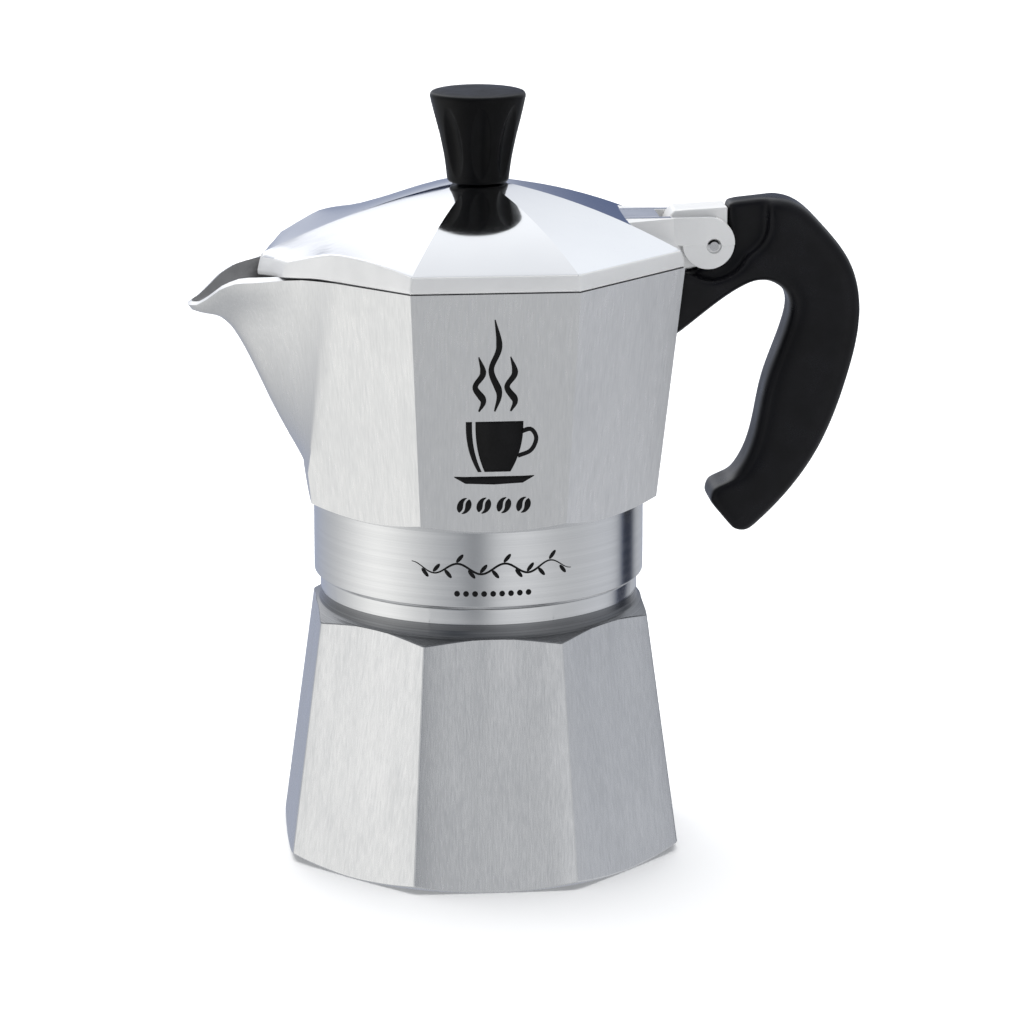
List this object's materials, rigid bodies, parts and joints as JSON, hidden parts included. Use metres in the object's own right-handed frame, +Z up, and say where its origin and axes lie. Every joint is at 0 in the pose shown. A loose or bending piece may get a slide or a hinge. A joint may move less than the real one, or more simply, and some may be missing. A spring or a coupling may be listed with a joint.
{
  "type": "moka pot",
  "caption": "Octagonal cast aluminium stovetop coffee maker with screw-on upper chamber, hinged domed lid, pouring spout and black side handle.",
  "frame": {"origin": "centre of the boiler's flat bottom", "axes": "+Z up, -X towards the spout, +X towards the handle"},
  "size_m": [0.1439, 0.0894, 0.165],
  "materials": {
    "boiler_aluminium": "vertically brushed on the flats, turned on the shoulder and foot",
    "chamber_aluminium": "satin polished cast aluminium",
    "lid_aluminium": "polished cast aluminium",
    "funnel_aluminium": "drawn sheet, satin",
    "filter_aluminium": "pressed sheet, satin",
    "gasket_rubber": "white food rubber",
    "washer_rubber": "red-brown fibre rubber",
    "valve_brass": "turned brass",
    "steel": "bright zinc-plated steel",
    "black_plastic": "satin moulded thermoset",
    "knob_plastic": "satin moulded thermoset"
  },
  "bodies": {
    "boiler": {"boiler": "boiler_aluminium", "valve_body": "valve_brass", "valve_washer": "washer_rubber", "valve_nut": "valve_brass", "valve_cap": "valve_brass", "valve_spring": "steel"},
    "plunger": {"valve_plunger": "steel"},
    "funnel": {"funnel": "funnel_aluminium", "funnel_screen": "funnel_aluminium"},
    "gasket": {"gasket": "gasket_rubber"},
    "filter": {"filter_plate": "filter_aluminium"},
    "upper": {"upper_chamber": "chamber_aluminium", "riser_column": "chamber_aluminium", "handle": "black_plastic", "handle_screw": "steel", "hinge_pin": "steel"},
    "lid": {"lid": "lid_aluminium", "knob": "knob_plastic", "knob_insert": "valve_brass", "knob_screw": "steel", "knob_washer": "steel"}
  },
  "joints": [
    {"name": "valve_release", "type": "slide", "parent": "boiler", "child": "plunger", "axis": [0, 1, 0], "range_m": [0, 0.0012], "stiffness_N_per_m": 800, "springref_m": -0.0016, "deforming": ["valve_spring"]},
    {"name": "funnel_lift", "type": "slide", "parent": "boiler", "child": "funnel", "axis": [0, 0, 1], "range_m": [0, 0.075]},
    {"name": "top_lift_off", "type": "slide", "parent": "funnel", "child": "gasket", "axis": [0, 0, 1], "range_m": [0, 0.075]},
    {"name": "thread_rise", "type": "slide", "parent": "gasket", "child": "filter", "axis": [0, 0, 1], "range_m": [0, 0.0061]},
    {"name": "unscrew", "type": "hinge", "parent": "filter", "child": "upper", "pos_m": [0, 0, 0], "axis": [0, 0, 1], "range_deg": [0, 720]},
    {"name": "lid_hinge", "type": "hinge", "parent": "upper", "child": "lid", "pos_m": [0.0501, 0, 0.1317], "axis": [0, 1, 0], "range_deg": [0, 100]}
  ],
  "couplings": [
    {"joint": "thread_rise", "follows": "unscrew", "m_per_rad": 0.00047746}
  ]
}
